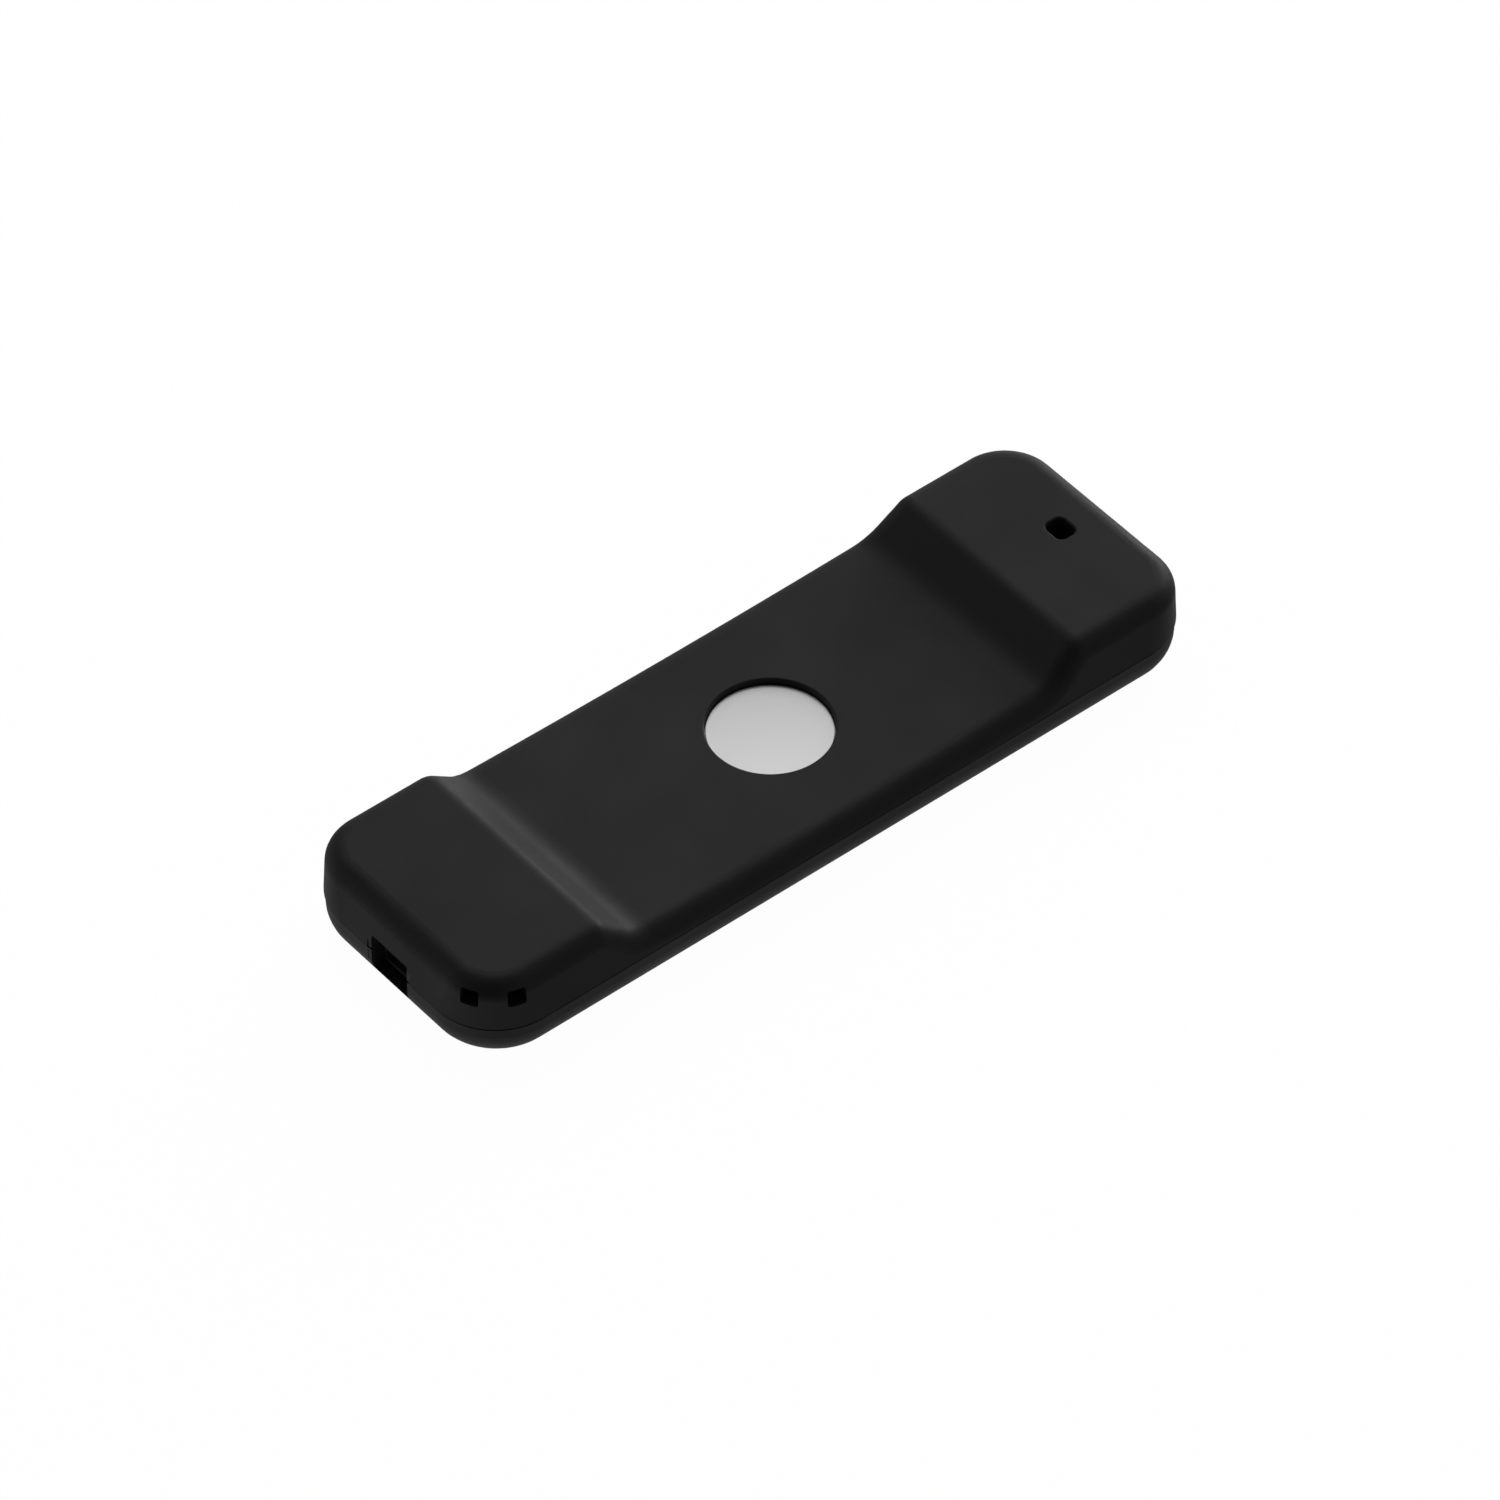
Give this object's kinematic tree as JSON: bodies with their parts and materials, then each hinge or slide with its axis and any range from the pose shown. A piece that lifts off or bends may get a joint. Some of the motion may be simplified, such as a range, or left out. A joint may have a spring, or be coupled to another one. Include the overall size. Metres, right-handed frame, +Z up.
{
  "type": "streaming media player handset in a soft sleeve",
  "caption": "Slim media player handset in a one-piece black silicone sleeve with two raised end pods, a round window in the saddle, keys under the lip and a charging opening.",
  "frame": {"origin": "centre of the sleeve's outline, on the plane of the lip that it lies on", "axes": "+Z up, away from the keys; +X towards the microphone end; -X towards the charging end; keys face -Z"},
  "size_m": [0.129, 0.042, 0.015],
  "materials": {
    "silicone": "fine matt black silicone",
    "magnet_nickel": "nickel plate",
    "housing_metal": "fine satin anodised",
    "badge_metal": "bead-blasted, clear anodised",
    "shell_plastic": "fine matt texture",
    "gloss_plate": "polished black",
    "frame_plastic": "moulded, slightly grained",
    "key_plastic": "soft-touch moulded keys",
    "steel_small": "stamped stainless steel",
    "circuit_board": "green solder mask",
    "film": "amber polyimide film",
    "chip_black": "moulded epoxy",
    "sensor_metal": "tinned can",
    "ceramic": "fired ceramic",
    "gasket_rubber": "closed-cell foam rubber",
    "battery_pouch": "matt laminated pouch",
    "socket_metal": "drawn shell",
    "contact_gold": "gold flash",
    "ir_dark": "dark infrared-clear plastic",
    "clear_resin": "cast clear resin"
  },
  "bodies": {
    "handset_in_sleeve": {"antenna_block": "ceramic", "back_cover": "housing_metal", "battery_cell": "battery_pouch", "battery_connector": "chip_black", "battery_flex": "film", "board_capacitors": "ceramic", "board_link_flex": "film", "charging_socket": "socket_metal", "clock_crystal": "sensor_metal", "dome_spacer_sheet": "film", "front_cover": "shell_plastic", "front_plate": "gloss_plate", "housing_screws": "steel_small", "internal_frame": "frame_plastic", "ir_emitters": "clear_resin", "ir_window": "ir_dark", "main_board": "circuit_board", "main_chip": "chip_black", "metal_domes": "steel_small", "motion_sensor": "chip_black", "pod_magnets": "magnet_nickel", "radio_module": "chip_black", "radio_shield_can": "steel_small", "rear_badge": "badge_metal", "rear_microphone": "sensor_metal", "rear_microphone_gasket": "gasket_rubber", "rocker_pin": "steel_small", "silicone_sleeve": "silicone", "socket_bezel": "shell_plastic", "socket_board": "circuit_board", "socket_contacts": "contact_gold", "status_led": "clear_resin", "status_light_pipe": "clear_resin", "voice_microphone": "sensor_metal", "voice_microphone_gasket": "gasket_rubber"},
    "key_back": {"key_back": "key_plastic"},
    "key_down": {"key_down": "key_plastic"},
    "key_home": {"key_home": "key_plastic"},
    "key_left": {"key_left": "key_plastic"},
    "key_mute": {"key_mute": "key_plastic"},
    "key_ok": {"key_ok": "key_plastic"},
    "key_play": {"key_play": "key_plastic"},
    "key_power": {"key_power": "key_plastic"},
    "key_right": {"key_right": "key_plastic"},
    "key_up": {"key_up": "key_plastic"},
    "key_voice": {"key_voice": "key_plastic"},
    "volume_rocker": {"volume_rocker": "key_plastic"}
  },
  "joints": [
    {"name": "key_back_press", "type": "slide", "parent": "handset_in_sleeve", "child": "key_back", "axis": [0, 0, 1], "range_m": [0, 0.00025], "stiffness_N_per_m": 1500},
    {"name": "key_down_press", "type": "slide", "parent": "handset_in_sleeve", "child": "key_down", "axis": [0, 0, 1], "range_m": [0, 0.00025], "stiffness_N_per_m": 1500},
    {"name": "key_home_press", "type": "slide", "parent": "handset_in_sleeve", "child": "key_home", "axis": [0, 0, 1], "range_m": [0, 0.00025], "stiffness_N_per_m": 1500},
    {"name": "key_left_press", "type": "slide", "parent": "handset_in_sleeve", "child": "key_left", "axis": [0, 0, 1], "range_m": [0, 0.00025], "stiffness_N_per_m": 1500},
    {"name": "key_mute_press", "type": "slide", "parent": "handset_in_sleeve", "child": "key_mute", "axis": [0, 0, 1], "range_m": [0, 0.00025], "stiffness_N_per_m": 1500},
    {"name": "key_ok_press", "type": "slide", "parent": "handset_in_sleeve", "child": "key_ok", "axis": [0, 0, 1], "range_m": [0, 0.00025], "stiffness_N_per_m": 1500},
    {"name": "key_play_press", "type": "slide", "parent": "handset_in_sleeve", "child": "key_play", "axis": [0, 0, 1], "range_m": [0, 0.00025], "stiffness_N_per_m": 1500},
    {"name": "key_power_press", "type": "slide", "parent": "handset_in_sleeve", "child": "key_power", "axis": [0, 0, 1], "range_m": [0, 0.00025], "stiffness_N_per_m": 1500},
    {"name": "key_right_press", "type": "slide", "parent": "handset_in_sleeve", "child": "key_right", "axis": [0, 0, 1], "range_m": [0, 0.00025], "stiffness_N_per_m": 1500},
    {"name": "key_up_press", "type": "slide", "parent": "handset_in_sleeve", "child": "key_up", "axis": [0, 0, 1], "range_m": [0, 0.00025], "stiffness_N_per_m": 1500},
    {"name": "key_voice_press", "type": "slide", "parent": "handset_in_sleeve", "child": "key_voice", "axis": [0, 0, 1], "range_m": [0, 0.00025], "stiffness_N_per_m": 1500},
    {"name": "volume_rock", "type": "hinge", "parent": "handset_in_sleeve", "child": "volume_rocker", "pos_m": [-0.003, -0.008, 0.0038], "axis": [0, 1, 0], "range_deg": [-2, 2], "stiffness_Nm_per_rad": 0.09}
  ]
}
